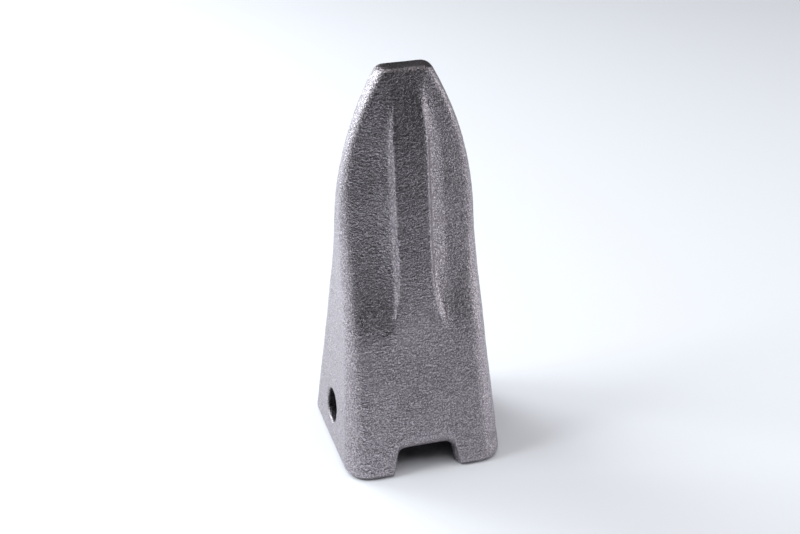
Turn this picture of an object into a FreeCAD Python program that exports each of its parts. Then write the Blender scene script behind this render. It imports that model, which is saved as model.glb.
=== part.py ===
"""Excavator bucket tooth: a forged tooth point, its side pin and the lock washer that keeps the pin in.

Millimetres. Z runs up the tooth from its socket end to its tip, X runs along the retaining pin, and the two
broad faces look along -Y and +Y. The origin is the middle of the socket end, where the tooth stands.
"""
import FreeCAD, Part
import math
import os

from FreeCAD import Vector

# Outer form of the tooth point.
TOOTH_LENGTH = 264.5
BASE_HALF_WIDTH = 53.6
BASE_HALF_DEPTH = 55.0
BASE_EDGE_RADIUS = 5.0
TIP_EDGE_RADIUS = 3.0

# Long corners: their radius shrinks towards the tip, down to a least value, and never takes more than a
# share of the thickness.
BASE_CORNER_RADIUS = 17.0
CORNER_RADIUS_TAPER = 0.05
LEAST_CORNER_RADIUS = 5.6
CORNER_SHARE_OF_DEPTH = 0.75

# Slopes as (height, inward travel per mm of height). A slope changes evenly from one height to the next.
# The sides and the long corners close in on the tip; the rib's crest keeps more thickness than the corners.
SIDE_SLOPES = ((0.0, 0.072), (68.0, 0.076), (112.0, 0.03), (130.0, 0.039), (148.0, 0.032), (160.0, 0.005),
               (200.0, 0.19), (222.0, 0.326), (245.0, 0.441), (TOOTH_LENGTH, 0.548))
CORNER_SLOPES = ((0.0, 0.237), (68.0, 0.237), (82.0, 0.225), (98.0, 0.29), (112.0, 0.415), (130.0, 0.315),
                 (148.0, 0.215), (168.0, 0.105), (200.0, 0.105), (222.0, -0.02), (245.0, 0.0),
                 (TOOTH_LENGTH, 0.065))
CREST_SLOPES = ((0.0, 0.237), (68.0, 0.237), (82.0, 0.165), (98.0, 0.14), (108.0, 0.175), (148.0, 0.175),
                (168.0, 0.105), (215.0, 0.15), (240.0, 0.22), (TOOTH_LENGTH, 0.12))

# Central rib on each broad face. It flares out below and sinks back at the tip. A dished panel falls away
# from its foot to the long corner on each side.
RIB_HALF_WIDTH = 11.0
RIB_TIP_HALF_WIDTH = 7.5
RIB_NARROWS_FROM = 215.0
RIB_FLARE_WIDTH = 15.0
RIB_FLARE_FROM = 75.0
RIB_FLARE_TO = 135.0
RIB_FLANK_WIDTH = 2.2
RIB_FLANK_DEPTH = 4.2
RIB_STANDS_FROM = 84.0
RIB_STANDS_FULLY = 130.0
RIB_SINKS_FROM = 205.0
PANEL_BEND_WIDTH_SHARE = 0.4
PANEL_BEND_DEPTH_SHARE = 0.58

# Tapered socket for the adapter's nose: a rounded rectangle at the mouth and one at the blind end, each as
# (half-width, half-depth, corner radius, height).
SOCKET_MOUTH = (39.6, 45.0, 8.0, 0.0)
SOCKET_BLIND_END = (30.0, 13.5, 6.0, 135.0)

# Notch in the foot of each broad face, for the adapter's stop lugs. Its bevelled mouth runs through outlines
# given as (distance from the middle of the tooth, top of the notch, half-width at the foot).
NOTCH_MOUTH = ((45.0, 15.5, 20.5), (47.4, 18.0, 20.9), (48.9, 23.0, 21.6), (57.0, 70.0, 25.0))
NOTCH_CORNER_RADIUS = 5.0
NOTCH_DRAFT = 0.16
NOTCH_PASSAGE_LENGTH = 12.0
NOTCH_SILL = -10.0

# Retaining pin and its bore through both ears.
PIN_HEIGHT = 28.5
BORE_RADIUS = 11.25
PIN_RADIUS = 10.75
PIN_LENGTH = 93.0
PIN_CHAMFER = 1.5
GROOVE_RADIUS = 9.75
GROOVE_WIDTH = 4.4

# Lock washer beside the inner face of the +X ear: steel shell, rubber ring and split snap ring.
WASHER_OUTER_FACE = 35.4
WASHER_THICKNESS = 8.6
SHELL_RADIUS = 19.0
SHELL_LIP_RADIUS = 14.8
SHELL_LIP_THICKNESS = 1.6
RUBBER_RADIUS = 16.5
SNAP_RING_RADIUS = 14.0
SNAP_RING_BORE_RADIUS = 10.4
SNAP_RING_THICKNESS = 3.8
SNAP_RING_GAP = 3.0

# Spacing of the cross-sections that the outer form runs through.
SECTION_SPACING = 12.0
SECTIONS_PER_ROUNDING = 6


def fall(height, slopes):
    """Inward travel from the base up to a height, for a slope that changes evenly between its heights."""
    total = 0.0
    for (low, low_slope), (high, high_slope) in zip(slopes, slopes[1:]):
        top = min(height, high)
        if top <= low:
            break
        top_slope = low_slope + (high_slope - low_slope) * (top - low) / (high - low)
        total += (top - low) * (low_slope + top_slope) / 2
    return total


def share(value, low, high):
    """How far a value has come from low to high, from 0 to 1."""
    return min(max((value - low) / (high - low), 0.0), 1.0)


def ease(value, low, high):
    """Like share, but starting and ending gently."""
    part = share(value, low, high)
    return part * part * (3 - 2 * part)


def rounded_outline(points, radii):
    """Closed flat outline through the points, with a round corner wherever the radius isn't zero."""
    corners = []
    for index, (corner, radius) in enumerate(zip(points, radii)):
        if radius == 0:
            corners.append((corner, None, corner))
            continue
        before = (points[index - 1] - corner).normalize()
        after = (points[(index + 1) % len(points)] - corner).normalize()
        half_angle = before.getAngle(after) / 2
        reach = radius / math.tan(half_angle)
        depth = radius / math.sin(half_angle) - radius
        middle = corner + (before + after).normalize() * depth
        corners.append((corner + before * reach, middle, corner + after * reach))
    edges = []
    for index, (start, middle, end) in enumerate(corners):
        if middle is not None:
            edges.append(Part.Arc(start, middle, end).toShape())
        edges.append(Part.LineSegment(end, corners[(index + 1) % len(corners)][0]).toShape())
    return Part.Wire(edges)


def rib_half_width(height):
    flare = RIB_FLARE_WIDTH * (1 - share(height, RIB_FLARE_FROM, RIB_FLARE_TO)) ** 2
    narrowing = (RIB_HALF_WIDTH - RIB_TIP_HALF_WIDTH) * ease(height, RIB_NARROWS_FROM, TOOTH_LENGTH)
    return RIB_HALF_WIDTH + flare - narrowing


def section(height, inset=0.0):
    """Outline of the tooth point at a height, drawn in by inset where an end is rounded."""
    half_width = BASE_HALF_WIDTH - fall(height, SIDE_SLOPES)
    edge = BASE_HALF_DEPTH - fall(height, CORNER_SLOPES)
    crest = BASE_HALF_DEPTH - fall(height, CREST_SLOPES)
    radius = max(BASE_CORNER_RADIUS - CORNER_RADIUS_TAPER * height, LEAST_CORNER_RADIUS)
    radius = min(radius, CORNER_SHARE_OF_DEPTH * edge)

    standing = ease(height, RIB_STANDS_FROM, RIB_STANDS_FULLY)
    sunk = ease(height, RIB_SINKS_FROM, TOOTH_LENGTH)
    foot = crest - RIB_FLANK_DEPTH * standing * (1 - sunk)
    bend = foot - PANEL_BEND_DEPTH_SHARE * (foot - edge)
    crest_end = rib_half_width(height)
    foot_start = crest_end + RIB_FLANK_WIDTH
    bend_start = foot_start + PANEL_BEND_WIDTH_SHARE * (half_width - radius - foot_start)

    # A quarter of the outline: the rib's crest, its foot, the bend of the panel and the long corner.
    quarter = [
        (crest_end, crest - inset, 0),
        (foot_start, foot - inset, 0),
        (bend_start, bend - inset, 0),
        (half_width - inset, edge - inset, radius - inset),
    ]
    half = [(x, -y, r) for x, y, r in quarter] + [(x, y, r) for x, y, r in reversed(quarter)]
    whole = half + [(-x, -y, r) for x, y, r in half]
    return rounded_outline([Vector(x, y, height) for x, y, _ in whole], [r for _, _, r in whole])


def even_steps(start, end, step):
    count = max(1, round((end - start) / step))
    return [start + (end - start) * index / count for index in range(count + 1)]


def outer_form():
    """The tooth point before its openings: a rounded foot, the ribbed wedge and a rounded tip."""
    tip_start = TOOTH_LENGTH - TIP_EDGE_RADIUS
    foot = []
    tip = []
    for index in range(SECTIONS_PER_ROUNDING):
        turn = math.pi / 2 * index / (SECTIONS_PER_ROUNDING - 1)
        sine = math.sin(turn)
        cosine = math.cos(turn)
        foot.append(section(BASE_EDGE_RADIUS * (1 - cosine), BASE_EDGE_RADIUS * (1 - sine)))
        tip.append(section(tip_start + TIP_EDGE_RADIUS * sine, TIP_EDGE_RADIUS * (1 - cosine)))
    wedge = [section(height) for height in even_steps(BASE_EDGE_RADIUS, tip_start, SECTION_SPACING)]
    lofts = [Part.makeLoft(wires, True, False) for wires in (foot, wedge, tip)]
    return lofts[0].fuse(lofts[1:])


def rounded_rectangle(half_width, half_depth, radius, height):
    signs = ((1, -1), (1, 1), (-1, 1), (-1, -1))
    return rounded_outline([Vector(x * half_width, y * half_depth, height) for x, y in signs], [radius] * 4)


def socket():
    rectangles = [rounded_rectangle(*rectangle) for rectangle in (SOCKET_MOUTH, SOCKET_BLIND_END)]
    return Part.makeLoft(rectangles, True, True)


def notch_outline(depth, top, foot_half_width):
    """Door shape in the plane y = -depth: drafted sides, two round upper corners, and open below the foot."""
    sill_half_width = foot_half_width - NOTCH_DRAFT * NOTCH_SILL
    top_half_width = foot_half_width - NOTCH_DRAFT * top
    points = [
        Vector(-sill_half_width, -depth, NOTCH_SILL),
        Vector(-top_half_width, -depth, top),
        Vector(top_half_width, -depth, top),
        Vector(sill_half_width, -depth, NOTCH_SILL),
    ]
    return rounded_outline(points, [0, NOTCH_CORNER_RADIUS, NOTCH_CORNER_RADIUS, 0])


def notches():
    """Both notches: a straight passage through the wall that opens into the bevelled mouth."""
    outlines = [notch_outline(*outline) for outline in NOTCH_MOUTH]
    passage = Part.Face(outlines[0]).extrude(Vector(0, NOTCH_PASSAGE_LENGTH, 0))
    front = passage.fuse(Part.makeLoft(outlines, True, True))
    return [front, front.mirror(Vector(0, 0, 0), Vector(0, 1, 0))]


def along_x(radius, start, end):
    """Cylinder about the pin's axis, from x = start to x = end."""
    return Part.makeCylinder(radius, end - start, Vector(start, 0, PIN_HEIGHT), Vector(1, 0, 0))


def tooth_point():
    bore = along_x(BORE_RADIUS, -BASE_HALF_WIDTH, BASE_HALF_WIDTH)
    return outer_form().cut([socket(), bore] + notches())


def retaining_pin():
    """Plain round pin, chamfered at both ends, with one groove for the snap ring."""
    half = PIN_LENGTH / 2
    groove_middle = WASHER_OUTER_FACE - WASHER_THICKNESS / 2
    groove_start = groove_middle - GROOVE_WIDTH / 2
    groove_end = groove_middle + GROOVE_WIDTH / 2
    profile = (
        (-half, 0.0),
        (-half, PIN_RADIUS - PIN_CHAMFER),
        (-half + PIN_CHAMFER, PIN_RADIUS),
        (groove_start, PIN_RADIUS),
        (groove_start, GROOVE_RADIUS),
        (groove_end, GROOVE_RADIUS),
        (groove_end, PIN_RADIUS),
        (half - PIN_CHAMFER, PIN_RADIUS),
        (half, PIN_RADIUS - PIN_CHAMFER),
        (half, 0.0),
    )
    points = [Vector(x, 0, PIN_HEIGHT + radius) for x, radius in profile]
    outline = Part.Face(Part.makePolygon(points + points[:1]))
    return outline.revolve(Vector(0, 0, PIN_HEIGHT), Vector(1, 0, 0), 360)


def lock_washer_shell():
    """Steel sleeve with an inward lip at each end, which holds the rubber ring."""
    start = WASHER_OUTER_FACE - WASHER_THICKNESS
    sleeve = along_x(SHELL_RADIUS, start, WASHER_OUTER_FACE)
    hollow = along_x(RUBBER_RADIUS, start + SHELL_LIP_THICKNESS, WASHER_OUTER_FACE - SHELL_LIP_THICKNESS)
    return sleeve.cut([hollow, along_x(SHELL_LIP_RADIUS, start, WASHER_OUTER_FACE)])


def lock_washer_rubber():
    start = WASHER_OUTER_FACE - WASHER_THICKNESS + SHELL_LIP_THICKNESS
    end = WASHER_OUTER_FACE - SHELL_LIP_THICKNESS
    return along_x(RUBBER_RADIUS, start, end).cut(along_x(SNAP_RING_RADIUS, start, end))


def lock_washer_snap_ring():
    """Split spring ring inside the rubber, its gap at the top."""
    start = WASHER_OUTER_FACE - (WASHER_THICKNESS + SNAP_RING_THICKNESS) / 2
    end = start + SNAP_RING_THICKNESS
    ring = along_x(SNAP_RING_RADIUS, start, end).cut(along_x(SNAP_RING_BORE_RADIUS, start, end))
    gap_corner = Vector(start, -SNAP_RING_GAP / 2, PIN_HEIGHT)
    return ring.cut(Part.makeBox(SNAP_RING_THICKNESS, SNAP_RING_GAP, SNAP_RING_RADIUS, gap_corner))


SUB_PARTS = (tooth_point, retaining_pin, lock_washer_shell, lock_washer_rubber, lock_washer_snap_ring)

os.makedirs("parts", exist_ok=True)
for sub_part in SUB_PARTS:
    solid = sub_part().removeSplitter().Solids[0]
    name = sub_part.__name__
    solid.exportStep(f"parts/{name}.step")
    print(f"{name}: valid {solid.isValid()}, {solid.Volume / 1000:.1f} cm3, {len(solid.Faces)} faces")
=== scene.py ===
"""Looks of an excavator bucket tooth with its side pin and lock washer, on a pale studio floor."""

import math

import bmesh
import bpy
from mathutils import Matrix, Vector, noise

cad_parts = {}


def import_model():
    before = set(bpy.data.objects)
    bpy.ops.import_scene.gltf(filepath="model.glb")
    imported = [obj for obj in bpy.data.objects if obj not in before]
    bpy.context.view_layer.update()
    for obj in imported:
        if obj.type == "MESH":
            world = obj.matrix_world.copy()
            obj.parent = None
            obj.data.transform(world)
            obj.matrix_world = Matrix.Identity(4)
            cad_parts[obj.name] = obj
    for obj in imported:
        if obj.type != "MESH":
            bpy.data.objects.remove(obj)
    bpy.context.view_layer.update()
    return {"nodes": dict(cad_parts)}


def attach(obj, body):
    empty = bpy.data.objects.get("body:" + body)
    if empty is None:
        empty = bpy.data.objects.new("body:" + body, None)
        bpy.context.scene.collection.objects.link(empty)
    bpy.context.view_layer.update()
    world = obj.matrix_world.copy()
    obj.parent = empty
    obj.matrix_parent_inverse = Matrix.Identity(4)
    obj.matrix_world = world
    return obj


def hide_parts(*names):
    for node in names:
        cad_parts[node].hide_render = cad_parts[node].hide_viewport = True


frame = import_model()

MM = 0.001

# Cast skin of the tooth point: its mesh, its long waves and its short lumps
WELD_DISTANCE = 0.001 * MM
SKIN_CELL = 1.17 * MM
SKIN_SOFTENING = 0.5
SKIN_SOFTENING_PASSES = 4
WAVE_HEIGHT = 0.20 * MM
WAVE_LENGTH = 26 * MM
LUMP_HEIGHT = 0.07 * MM
LUMP_LENGTH = 6 * MM
LUMP_SHIFT = Vector((7, 3, 5))

# Dents from handling, in millimetres: x, y, z, radius and depth
DENTS = (
    (48, -47, 12, 6, 1.1),
    (50, -39, 17, 4, 0.6),
    (-47, -43, 31, 5, 0.6),
    (27, -49, 22, 4, 0.6),
    (-18, -49, 27, 3, 0.5),
    (-34, -15, 206, 4, 0.5),
    (44, 40, 60, 5, 0.7),
)

# Grain of the blasted steel, from coarse to fine: sizes, and how far the finer two stand out
MOTTLE_SIZE = 22 * MM
WRINKLE_SIZE = 2.3 * MM
WRINKLE_HEIGHT = 0.5 * MM
GRAIN_SIZE = 0.9 * MM
GRAIN_HEIGHT = 0.42 * MM

# Painted shade towards the tip and on the rib's crest, darkening the colour where the light leaves them
# dim: the heights or half widths at which it begins and is full, and how dark it gets
TIP_SHADE_HEIGHTS = (130 * MM, 185 * MM)
TIP_PAINTED_SHADE = 0.12
CREST_SHADE_HEIGHTS = (105 * MM, 150 * MM)
CREST_SHADE_HALF_WIDTHS = (11 * MM, 9 * MM)
CREST_PAINTED_SHADE = 0.12

# Painted shade on the walls of the two bores for the pin, where shade falls inside the holes: the
# distances from the pin's axis at which the painted shade begins and is full, and how dark it gets
BORE_SHADE_BEGINS = 11.8 * MM
BORE_SHADE_IS_FULL = 11.3 * MM
BORE_PAINTED_SHADE = 0.85

# Between which values of a noise a colour changes: softly, more firmly
SOFT = (0.3, 0.7)
FIRM = (0.35, 0.65)

# Camera, in metres and degrees
LENS_MM = 68.73
SENSOR_MM = 36
CAMERA_AZIMUTH = -15.69
CAMERA_ELEVATION = 27.61
CAMERA_ROLL = 0.542
CAMERA_DISTANCE = 0.9899
CAMERA_TARGET = Vector((0.0, 0.0, 0.1325))
TARGET_RIGHT_OF_AXIS = 2.96 * MM
TARGET_ABOVE_AXIS = 6.53 * MM

# Studio lamps: azimuth, elevation, distance, width, height, power and colour
LAMPS = {
    "key": (-140, 14, 1.4, 0.7, 0.5, 10.5, (0.93, 1.0, 1.03)),
    "left_high": (-95, 40, 1.4, 0.6, 0.6, 10, (0.95, 1.0, 1.0)),
    "left_low": (-78, 12, 1.4, 0.5, 0.6, 1.5, (0.95, 1.0, 1.0)),
    "right_front": (62, 12, 1.5, 0.5, 0.7, 3.4, (0.97, 0.98, 1.0)),
    "right": (85, 12, 1.5, 0.5, 0.7, 4, (0.97, 0.98, 1.0)),
    "back_high": (-140, 45, 1.5, 0.8, 0.6, 7, (0.95, 0.97, 1.0)),
    "front_high": (15, 62, 1.5, 0.5, 0.3, 1.2, (1.0, 1.0, 1.0)),
    "top": (0, 85, 1.5, 0.8, 0.8, 3.2, (1.0, 1.0, 1.0)),
}

# Even light on the floor only: strength, width of the lit sky in degrees and colour
FLOOR_WASH_STRENGTH = 1.0
FLOOR_WASH_SOFTNESS = 80
FLOOR_WASH_COLOUR = (0.96, 0.97, 1.0)

# The room: what the camera sees behind the floor, and the dim light that falls on the tooth
SEEN_COLOUR = (0.90, 0.93, 1.0, 1)
SEEN_STRENGTH = 0.98
ROOM_COLOUR = (0.92, 0.94, 1.0, 1)
ROOM_AT_HORIZON = 0.03
ROOM_OVERHEAD = 0.02
ROOM_FADES_BY = 0.6

# The pale floor, in metres: how far it reaches each way, and where its front part begins
FLOOR_REACH = 6.0
FLOOR_FRONT_PART_FROM = 0.42


def direction(azimuth, elevation):
    """Unit vector towards an azimuth, where 0 is -Y and 90 is +X, and an elevation, in degrees."""
    a = math.radians(azimuth)
    e = math.radians(elevation)
    return Vector((math.sin(a) * math.cos(e), -math.cos(a) * math.cos(e), math.sin(e)))


def link(obj):
    bpy.context.scene.collection.objects.link(obj)
    return obj


# ---------------------------------------------------------------- materials


class Tree:
    """Short names for building a material's node tree."""

    def __init__(self, material):
        material.use_nodes = True
        self.nodes = material.node_tree.nodes
        self.links = material.node_tree.links
        self.shader = self.nodes["Principled BSDF"]

    def add(self, kind, inputs=None, **settings):
        node = self.nodes.new("ShaderNode" + kind)
        for key, value in settings.items():
            setattr(node, key, value)
        for key, value in (inputs or {}).items():
            self.put(node.inputs[key], value)
        return node

    def put(self, socket, value):
        if isinstance(value, bpy.types.NodeSocket):
            self.links.new(value, socket)
        else:
            socket.default_value = value

    def place(self):
        """Where a point lies on the object, in metres."""
        return self.add("TexCoord").outputs["Object"]

    def axes(self):
        """The X, Y and Z of a point's place."""
        return self.add("SeparateXYZ", {"Vector": self.place()}).outputs

    def noise(self, size, detail=2.0, roughness=0.5, stretch=(1, 1, 1)):
        """Noise between 0 and 1 whose features are about size metres across."""
        stretched = self.add("Mapping", {"Vector": self.place(), "Scale": stretch}).outputs[0]
        return self.add("TexNoise", {"Vector": stretched, "Scale": 1 / size, "Detail": detail,
                                     "Roughness": roughness}).outputs["Fac"]

    def ramp(self, value, low, high, to_low=0.0, to_high=1.0):
        """Maps low to to_low and high to to_high, and holds the end values beyond them."""
        return self.add("MapRange", {"Value": value, "From Min": low, "From Max": high,
                                     "To Min": to_low, "To Max": to_high}).outputs[0]

    def math(self, operation, a, b):
        return self.add("Math", {0: a, 1: b}, operation=operation).outputs[0]

    def product(self, *factors):
        result = factors[0]
        for factor in factors[1:]:
            result = self.math("MULTIPLY", result, factor)
        return result

    def mix(self, share, a, b):
        """Colour a where the share is 0, colour b where it is 1."""
        node = self.add("Mix", data_type="RGBA")
        self.put(node.inputs["Factor"], share)
        self.put(node.inputs[6], a)
        self.put(node.inputs[7], b)
        return node.outputs[2]

    def bump(self, height, distance, strength=1.0, normal=None):
        inputs = {"Height": height, "Distance": distance, "Strength": strength}
        if normal is not None:
            inputs["Normal"] = normal
        return self.add("Bump", inputs).outputs[0]


def finish(name, colour, roughness, metallic=1.0):
    """A material with plain values, and its tree, in which nodes can take their place."""
    material = bpy.data.materials.new(name)
    tree = Tree(material)
    tree.put(tree.shader.inputs["Base Color"], colour)
    tree.put(tree.shader.inputs["Roughness"], roughness)
    tree.put(tree.shader.inputs["Metallic"], metallic)
    return material, tree


def painted_shade_share(tree):
    """Share of painted shade: a little towards the tip and on the rib's crest, much in the bores."""
    across, depth, height = tree.axes()
    # painted shade: the colour darkens towards the tip and on the rib's crest
    near_tip = tree.ramp(height, *TIP_SHADE_HEIGHTS)
    crest_begins = tree.ramp(height, *CREST_SHADE_HEIGHTS)
    on_crest = tree.ramp(tree.math("ABSOLUTE", across, 0), *CREST_SHADE_HALF_WIDTHS)
    on_face = tree.math("ADD", tree.product(near_tip, TIP_PAINTED_SHADE),
                        tree.product(crest_begins, on_crest, CREST_PAINTED_SHADE))

    # painted shade inside the bores for the pin, darkest close to the pin's axis
    pin_heights = [corner[2] for corner in frame["nodes"]["retaining_pin"].bound_box]
    above_axis = tree.math("SUBTRACT", height, (min(pin_heights) + max(pin_heights)) / 2)
    from_axis_squared = tree.math("ADD", tree.product(depth, depth), tree.product(above_axis, above_axis))
    in_bore = tree.ramp(from_axis_squared, BORE_SHADE_BEGINS ** 2, BORE_SHADE_IS_FULL ** 2)
    return tree.math("MAXIMUM", on_face, tree.product(in_bore, BORE_PAINTED_SHADE))


def shot_blasted_steel():
    """Grey blasted casting: wrinkled, grainy and mottled, with painted shade towards the tip, on the
    rib's crest and in the bores.
    """
    dark_patch = (0.2, 0.18, 0.197, 1)
    light_patch = (0.28, 0.254, 0.276, 1)
    bright_grain = (0.66, 0.605, 0.65, 1)
    # near-black colour of the painted shade on the tip, the rib's crest and the bores
    painted_shade_colour = (0.01, 0.01, 0.012, 1)
    material, tree = finish("shot_blasted_steel", (0.3, 0.27, 0.3, 1), 0.32, 0.9)

    mottle = tree.noise(MOTTLE_SIZE, 4, 0.6)
    wrinkle = tree.noise(WRINKLE_SIZE, stretch=(1, 1, 1.7))
    grain = tree.noise(GRAIN_SIZE, roughness=0.6)
    patches = tree.mix(tree.ramp(mottle, *SOFT), dark_patch, light_patch)
    speckled = tree.mix(tree.ramp(grain, 0.42, 0.66), patches, bright_grain)
    # the painted shade is mixed into the speckled colour here
    tree.put(tree.shader.inputs["Base Color"], tree.mix(painted_shade_share(tree), speckled, painted_shade_colour))
    tree.put(tree.shader.inputs["Roughness"], tree.ramp(mottle, *SOFT, 0.26, 0.35))
    wrinkled = tree.bump(wrinkle, WRINKLE_HEIGHT)
    tree.put(tree.shader.inputs["Normal"], tree.bump(grain, GRAIN_HEIGHT, normal=wrinkled))
    return material


def turned_pin_steel():
    """Hardened pin with a dark oxide finish and fine turning marks round its axis."""
    oxide = (0.02, 0.02, 0.025, 1)
    thin_oxide = (0.06, 0.057, 0.06, 1)
    material, tree = finish("turned_pin_steel", (0.08, 0.08, 0.09, 1), 0.35)
    rings = tree.noise(0.6 * MM, stretch=(1, 0.02, 0.02))
    blotch = tree.noise(9 * MM, 3, 0.6)
    tree.put(tree.shader.inputs["Base Color"], tree.mix(tree.ramp(blotch, *SOFT), oxide, thin_oxide))
    tree.put(tree.shader.inputs["Roughness"], tree.ramp(blotch, *SOFT, 0.28, 0.45))
    tree.put(tree.shader.inputs["Normal"], tree.bump(rings, 0.1 * MM, 0.4))
    return material


def phosphated_steel():
    """Pressed steel shell with a matt grey-green phosphate coat."""
    coat = (0.07, 0.075, 0.07, 1)
    crystal = (0.16, 0.165, 0.155, 1)
    material, tree = finish("phosphated_steel", (0.1, 0.105, 0.1, 1), 0.6, 0.6)
    crystals = tree.noise(0.8 * MM, 4, 0.7)
    tree.put(tree.shader.inputs["Base Color"], tree.mix(tree.ramp(crystals, *FIRM), coat, crystal))
    tree.put(tree.shader.inputs["Normal"], tree.bump(crystals, 0.15 * MM, 0.5))
    return material


def moulded_rubber():
    """Black rubber with a matt, slightly dusty skin."""
    black = (0.016, 0.016, 0.017, 1)
    dusty = (0.05, 0.048, 0.045, 1)
    material, tree = finish("moulded_rubber", (0.02, 0.02, 0.02, 1), 0.75, 0.0)
    dust = tree.noise(3 * MM, 5, 0.7)
    tree.put(tree.shader.inputs["Base Color"], tree.mix(tree.ramp(dust, 0.4, 0.75), black, dusty))
    tree.put(tree.shader.inputs["Normal"], tree.bump(tree.noise(0.7 * MM, 3), 0.1 * MM, 0.5))
    return material


def blued_spring_steel():
    """Tempered spring ring with a blue-black sheen."""
    blue = (0.045, 0.055, 0.10, 1)
    straw = (0.10, 0.09, 0.08, 1)
    material, tree = finish("blued_spring_steel", (0.05, 0.06, 0.1, 1), 0.3)
    temper = tree.noise(5 * MM)
    tree.put(tree.shader.inputs["Base Color"], tree.mix(tree.ramp(temper, *FIRM), blue, straw))
    tree.put(tree.shader.inputs["Normal"], tree.bump(tree.noise(0.5 * MM, 3), 0.05 * MM, 0.5))
    return material


def matt_white():
    """The floor's near-white surface, which hardly shines."""
    material, tree = finish("studio_floor", (0.86, 0.87, 0.91, 1), 0.7, 0.0)
    tree.put(tree.shader.inputs["Specular IOR Level"], 0.15)
    return material


# ---------------------------------------------------------------- tooth casting


def weld(mesh):
    """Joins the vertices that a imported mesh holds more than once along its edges."""
    bm = bmesh.new()
    bm.from_mesh(mesh)
    bmesh.ops.remove_doubles(bm, verts=bm.verts, dist=WELD_DISTANCE)
    bm.to_mesh(mesh)
    bm.free()


def even_skin(source):
    """An even mesh over a CAD node, with its edges softened as a mould leaves them."""
    rough = link(bpy.data.objects.new("rough_casting", source.data.copy()))
    weld(rough.data)
    remesh = rough.modifiers.new("skin", "REMESH")
    remesh.mode = "VOXEL"
    remesh.voxel_size = SKIN_CELL
    remesh.use_smooth_shade = True
    soften = rough.modifiers.new("soften", "SMOOTH")
    soften.factor = SKIN_SOFTENING
    soften.iterations = SKIN_SOFTENING_PASSES
    depsgraph = bpy.context.evaluated_depsgraph_get()
    mesh = bpy.data.meshes.new_from_object(rough.evaluated_get(depsgraph))
    bpy.data.objects.remove(rough)
    return mesh


def dent_depth(place):
    """How deep the handling dents reach at a place on the skin."""
    total = 0.0
    for x, y, z, radius, depth in DENTS:
        share = (place - Vector((x, y, z)) * MM).length / (radius * MM)
        if share < 1:
            total += depth * MM * (1 - share ** 2) ** 2
    return total


def uneven(mesh):
    """Gives the skin the waves and lumps of a sand casting, and its dents, all along its normals."""
    normals = [normal.vector.copy() for normal in mesh.vertex_normals]
    for vertex, normal in zip(mesh.vertices, normals):
        wave = noise.noise(vertex.co / WAVE_LENGTH) * WAVE_HEIGHT
        lump = noise.noise(vertex.co / LUMP_LENGTH + LUMP_SHIFT) * LUMP_HEIGHT
        vertex.co += normal * (wave + lump - dent_depth(vertex.co))


def tooth_casting():
    mesh = even_skin(frame["nodes"]["tooth_point"])
    uneven(mesh)
    mesh.materials.clear()
    mesh.materials.append(shot_blasted_steel())
    mesh.shade_smooth()
    casting = link(bpy.data.objects.new("tooth_casting", mesh))
    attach(casting, "tooth")
    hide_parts("tooth_point")


def hardware():
    """Finishes the pin and the lock washer's three parts."""
    finishes = {
        "retaining_pin": (turned_pin_steel, "pin_steel"),
        "lock_washer_shell": (phosphated_steel, "washer_steel"),
        "lock_washer_rubber": (moulded_rubber, "washer_rubber"),
        "lock_washer_snap_ring": (blued_spring_steel, "spring_steel"),
    }
    for node, (material, slot) in finishes.items():
        piece = frame["nodes"][node]
        piece.data.materials.clear()
        piece.data.materials.append(material())


# ---------------------------------------------------------------- stage, light and camera


def floor_strip(name, front, back, material):
    """Floor across the whole width, between two places in Y."""
    mesh = bpy.data.meshes.new(name)
    left = -FLOOR_REACH
    right = FLOOR_REACH
    corners = [(left, front, 0), (right, front, 0), (right, back, 0), (left, back, 0)]
    mesh.from_pydata(corners, [], [(0, 1, 2, 3)])
    mesh.materials.append(material)
    obj = link(bpy.data.objects.new(name, mesh))
    return obj


def floor():
    """The floor, whose front part throws no light back onto the tooth's broad face."""
    material = matt_white()
    main_part = floor_strip("floor", -FLOOR_FRONT_PART_FROM, FLOOR_REACH, material)
    front_part = floor_strip("floor_front", -FLOOR_REACH, -FLOOR_FRONT_PART_FROM, material)
    front_part.visible_diffuse = False
    front_part.visible_glossy = False
    return main_part, front_part


def world():
    """Near-white for the camera, and for the light a dim room that is brightest at the horizon."""
    scene_world = bpy.data.worlds.new("studio")
    bpy.context.scene.world = scene_world
    scene_world.use_nodes = True
    nodes = scene_world.node_tree.nodes
    links = scene_world.node_tree.links
    seen = nodes["Background"]
    seen.inputs["Color"].default_value = SEEN_COLOUR
    seen.inputs["Strength"].default_value = SEEN_STRENGTH
    lighting = nodes.new("ShaderNodeBackground")
    lighting.inputs["Color"].default_value = ROOM_COLOUR
    place = nodes.new("ShaderNodeTexCoord")
    split = nodes.new("ShaderNodeSeparateXYZ")
    links.new(place.outputs["Generated"], split.inputs[0])
    fade = nodes.new("ShaderNodeMapRange")
    fade.inputs["From Min"].default_value = 0.0
    fade.inputs["From Max"].default_value = ROOM_FADES_BY
    fade.inputs["To Min"].default_value = ROOM_AT_HORIZON
    fade.inputs["To Max"].default_value = ROOM_OVERHEAD
    links.new(split.outputs["Z"], fade.inputs["Value"])
    links.new(fade.outputs[0], lighting.inputs["Strength"])
    path = nodes.new("ShaderNodeLightPath")
    mix = nodes.new("ShaderNodeMixShader")
    links.new(path.outputs["Is Camera Ray"], mix.inputs[0])
    links.new(lighting.outputs[0], mix.inputs[1])
    links.new(seen.outputs[0], mix.inputs[2])
    links.new(mix.outputs[0], nodes["World Output"].inputs["Surface"])


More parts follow.
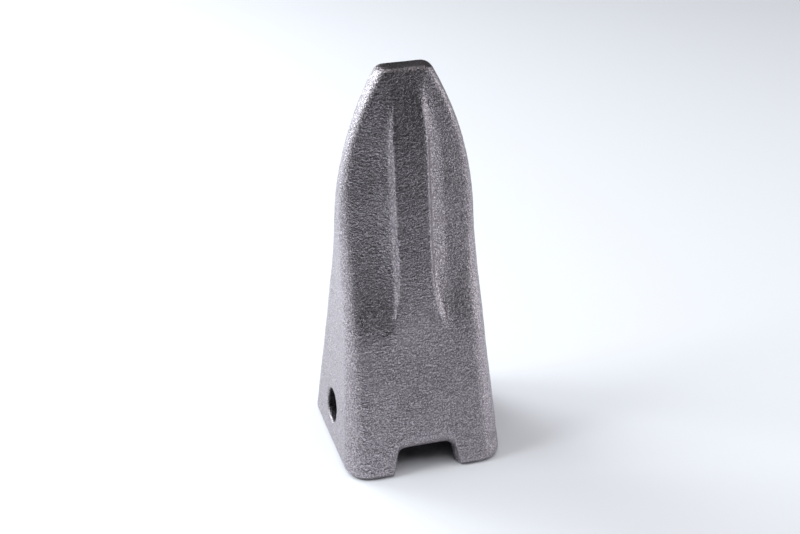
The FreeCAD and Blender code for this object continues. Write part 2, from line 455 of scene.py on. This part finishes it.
def soft_box(name, azimuth, elevation, distance, width, height, power, colour):
    """A rectangular lamp at a distance from the tooth, facing it. The camera doesn't see it."""
    lamp = bpy.data.lights.new(name, "AREA")
    lamp.shape = "RECTANGLE"
    lamp.size = width
    lamp.size_y = height
    lamp.energy = power
    lamp.color = colour
    obj = link(bpy.data.objects.new(name, lamp))
    towards = direction(azimuth, elevation)
    obj.location = CAMERA_TARGET + towards * distance
    obj.rotation_mode = "QUATERNION"
    obj.rotation_quaternion = towards.to_track_quat("Z", "Y")
    obj.visible_camera = False


def floor_wash(floor_parts):
    """Soft even light from overhead that falls on the floor only."""
    lamp = bpy.data.lights.new("floor_wash", "SUN")
    lamp.energy = FLOOR_WASH_STRENGTH
    lamp.angle = math.radians(FLOOR_WASH_SOFTNESS)
    lamp.color = FLOOR_WASH_COLOUR
    obj = link(bpy.data.objects.new("floor_wash", lamp))
    lit = bpy.data.collections.new("lit_by_floor_wash")
    for part in floor_parts:
        lit.objects.link(part)
    obj.light_linking.receiver_collection = lit


def lights(floor_parts):
    for name, settings in LAMPS.items():
        soft_box(name, *settings)
    floor_wash(floor_parts)


def camera():
    """Aims the camera so that the tooth's middle stands a little off the picture's axis."""
    back = direction(CAMERA_AZIMUTH, CAMERA_ELEVATION)
    right = Vector((0, 0, 1)).cross(back).normalized()
    up = back.cross(right)
    place = (CAMERA_TARGET + back * CAMERA_DISTANCE
             - right * TARGET_RIGHT_OF_AXIS - up * TARGET_ABOVE_AXIS)
    roll = math.radians(CAMERA_ROLL)
    rolled_right = right * math.cos(roll) - up * math.sin(roll)
    rolled_up = right * math.sin(roll) + up * math.cos(roll)
    data = bpy.data.cameras.new("camera")
    data.lens = LENS_MM
    data.sensor_width = SENSOR_MM
    obj = link(bpy.data.objects.new("camera", data))
    turn = Matrix((rolled_right, rolled_up, back)).transposed()
    obj.matrix_world = Matrix.Translation(place) @ turn.to_4x4()
    bpy.context.scene.camera = obj


bpy.context.scene.view_settings.view_transform = "Standard"
tooth_casting()
hardware()
world()
lights(floor())
camera()
